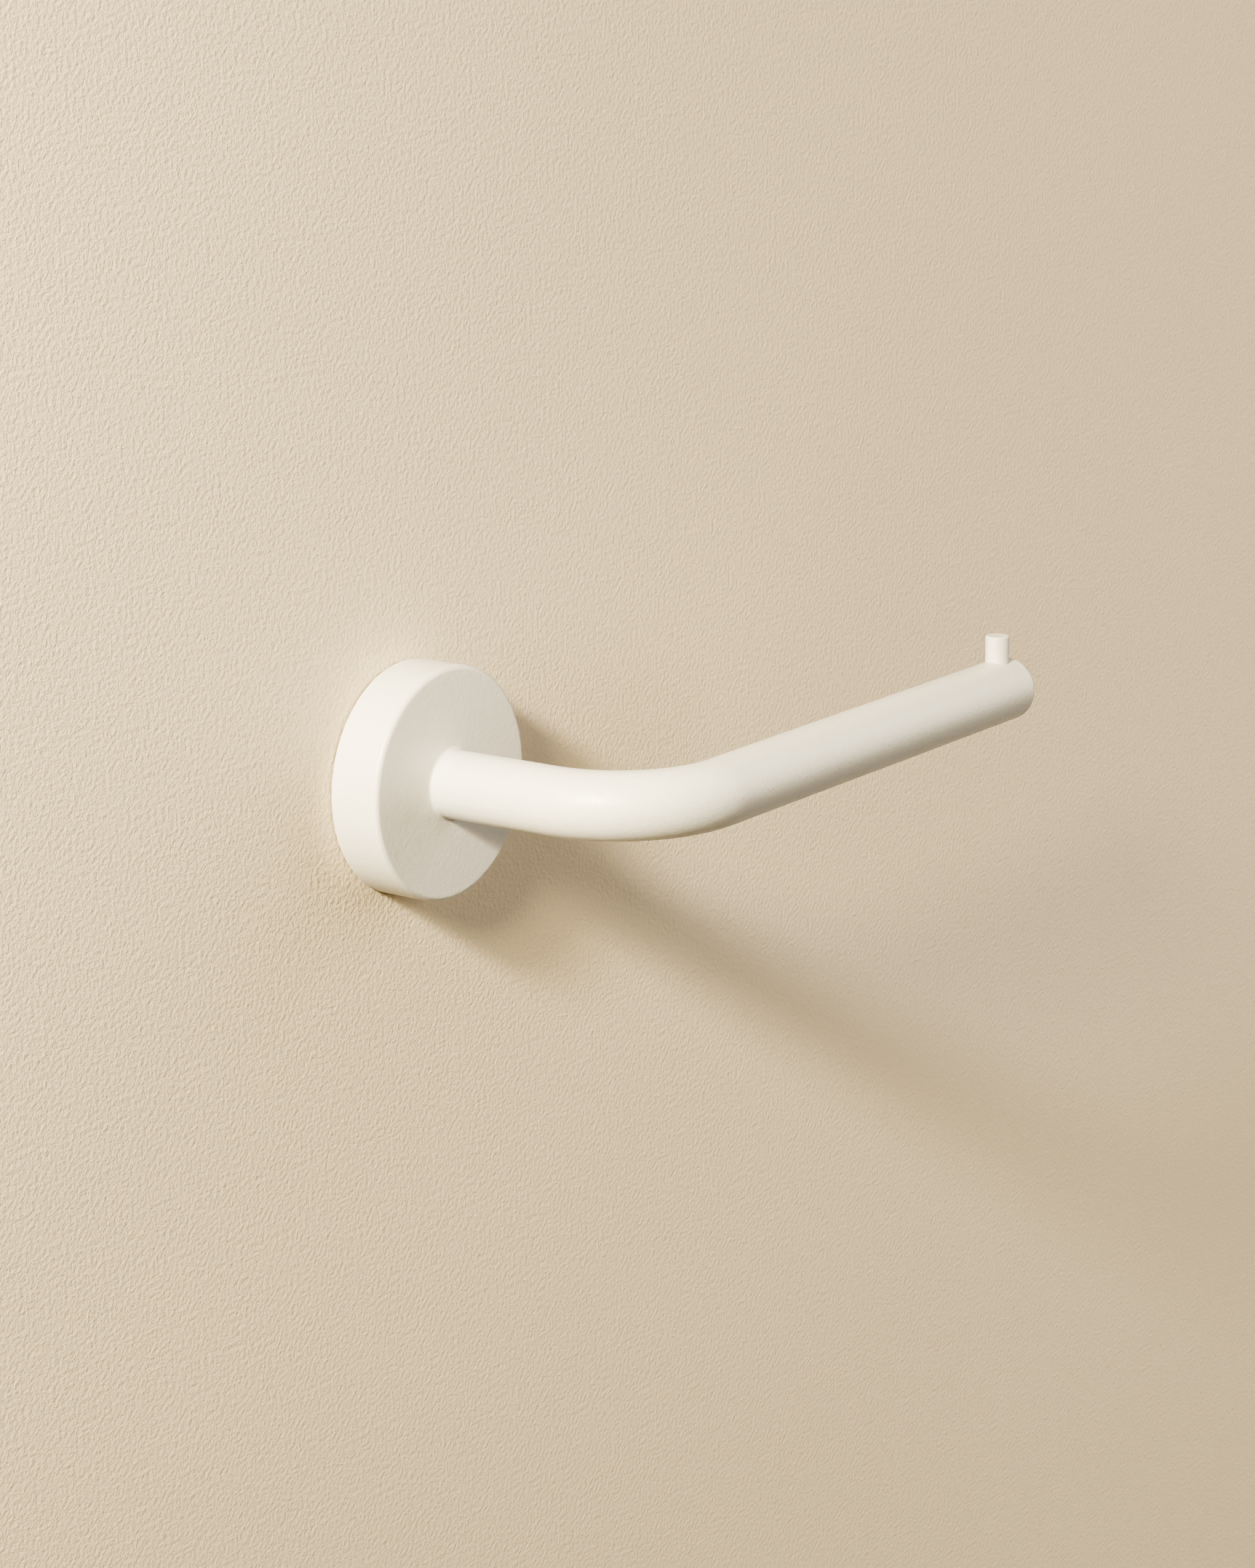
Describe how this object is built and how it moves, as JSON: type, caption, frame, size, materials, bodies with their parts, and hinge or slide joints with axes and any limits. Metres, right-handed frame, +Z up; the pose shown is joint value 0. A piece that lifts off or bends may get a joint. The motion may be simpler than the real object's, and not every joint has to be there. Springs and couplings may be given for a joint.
{
  "type": "wall-mounted roll holder",
  "caption": "Open-arm paper roll holder: a round wall rose carries one bent tube with a stop pin near its tip, over a hidden wall plate.",
  "frame": {"origin": "centre of the wall plate's back face, on the wall", "axes": "+Z up, -Y out of the wall into the room, +X along the long leg of the arm"},
  "size_m": [0.1855, 0.109, 0.055],
  "materials": {
    "white_coat": "matt fine-texture white powder coat on steel",
    "cast_zinc": "as-cast zinc alloy, tumbled",
    "yellow_zinc_steel": "yellow zinc-plated steel",
    "stainless_steel": "turned and rolled stainless steel"
  },
  "bodies": {
    "root": {"rose": "white_coat", "wall_plate": "cast_zinc", "wall_screws": "yellow_zinc_steel", "clamp_screw": "stainless_steel", "arm_tube": "white_coat", "root_insert": "stainless_steel", "arm_screw": "stainless_steel", "flat_washer": "stainless_steel", "spring_washer": "stainless_steel", "dowel": "stainless_steel", "end_plug": "white_coat", "stop_pin": "white_coat"}
  },
  "joints": []
}
